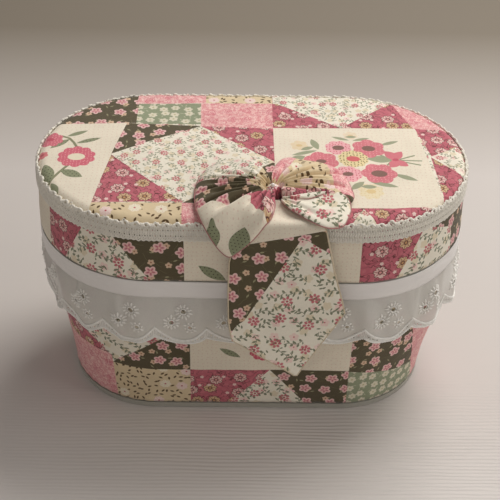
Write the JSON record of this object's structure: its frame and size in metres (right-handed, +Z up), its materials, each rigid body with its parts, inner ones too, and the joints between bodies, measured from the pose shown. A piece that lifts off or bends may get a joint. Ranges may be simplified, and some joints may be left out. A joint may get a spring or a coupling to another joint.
{
  "type": "sewing box with trays",
  "caption": "Oval-ended fabric-covered sewing box: padded hinged lid with a bow and hanging tail, lace and ruffle trim, two lift-out compartment trays inside.",
  "frame": {"origin": "centre of the tub's flat underside, on the surface the box stands on", "axes": "+Z up; -Y the front, where the bow's tail hangs; +X along the long side, to the right seen from the front"},
  "size_m": [0.3112, 0.1868, 0.1954],
  "materials": {
    "patchwork_cotton": "printed cotton patchwork, plain weave, matt",
    "lining_cotton": "cream pin-dot cotton, plain weave, matt",
    "wadding": "polyester wadding",
    "eyelet_cotton": "white batiste with corded scallops and eyelet embroidery",
    "cotton_lace": "cream cotton lace",
    "satin_ribbon": "cream satin, soft sheen",
    "hinge_tape": "cream cotton twill tape",
    "tub_plastic": "milky translucent moulded plastic",
    "lid_plastic": "milky moulded plastic",
    "tray_plastic": "cream moulded plastic, low gloss",
    "pearl": "pearlised plastic"
  },
  "bodies": {
    "box": {"tub_shell": "tub_plastic", "body_wadding": "wadding", "body_cover": "patchwork_cotton", "body_lining": "lining_cotton", "floor_pad": "lining_cotton", "lower_tray_ledge": "lid_plastic", "eyelet_ruffle": "eyelet_cotton", "satin_ribbon": "satin_ribbon", "hinge_strip_lower": "hinge_tape"},
    "lid": {"lid_shell": "lid_plastic", "lid_band_cover": "patchwork_cotton", "lid_wadding": "wadding", "lid_top_cover": "patchwork_cotton", "crochet_lace": "cotton_lace", "lid_lining": "lining_cotton", "lid_band_lining": "lining_cotton", "hinge_strip_upper": "hinge_tape", "bow_loop_left": "patchwork_cotton", "bow_loop_right_upper": "patchwork_cotton", "bow_loop_right_lower": "patchwork_cotton", "bow_knot": "patchwork_cotton", "bow_pearl": "pearl", "bow_tail_top": "patchwork_cotton"},
    "tail": {"bow_tail_hanging": "patchwork_cotton"},
    "upper_tray": {"upper_tray": "tray_plastic", "upper_tray_long_divider": "tray_plastic", "upper_tray_cross_dividers": "tray_plastic", "upper_tray_pull_tabs": "satin_ribbon"},
    "lower_tray": {"lower_tray": "tray_plastic", "lower_tray_dividers": "tray_plastic", "lower_tray_pull_tabs": "satin_ribbon"}
  },
  "joints": [
    {"name": "lid_hinge", "type": "hinge", "parent": "box", "child": "lid", "pos_m": [0, 0.0846, 0.134], "axis": [-1, 0, 0], "range_deg": [0, 105]},
    {"name": "tail_lift", "type": "hinge", "parent": "lid", "child": "tail", "pos_m": [0.02, -0.0886, 0.1813], "axis": [-1, 0, 0], "range_deg": [0, 95]},
    {"name": "upper_tray_lift", "type": "slide", "parent": "box", "child": "upper_tray", "axis": [0, 0, 1], "range_m": [0, 0.102]},
    {"name": "lower_tray_lift", "type": "slide", "parent": "box", "child": "lower_tray", "axis": [0, 0, 1], "range_m": [0, 0.087]}
  ],
  "couplings": [
    {"joint": "upper_tray_lift", "follows": "lid_hinge", "m_per_rad": 0.055},
    {"joint": "lower_tray_lift", "follows": "lid_hinge", "m_per_rad": 0.0465}
  ]
}
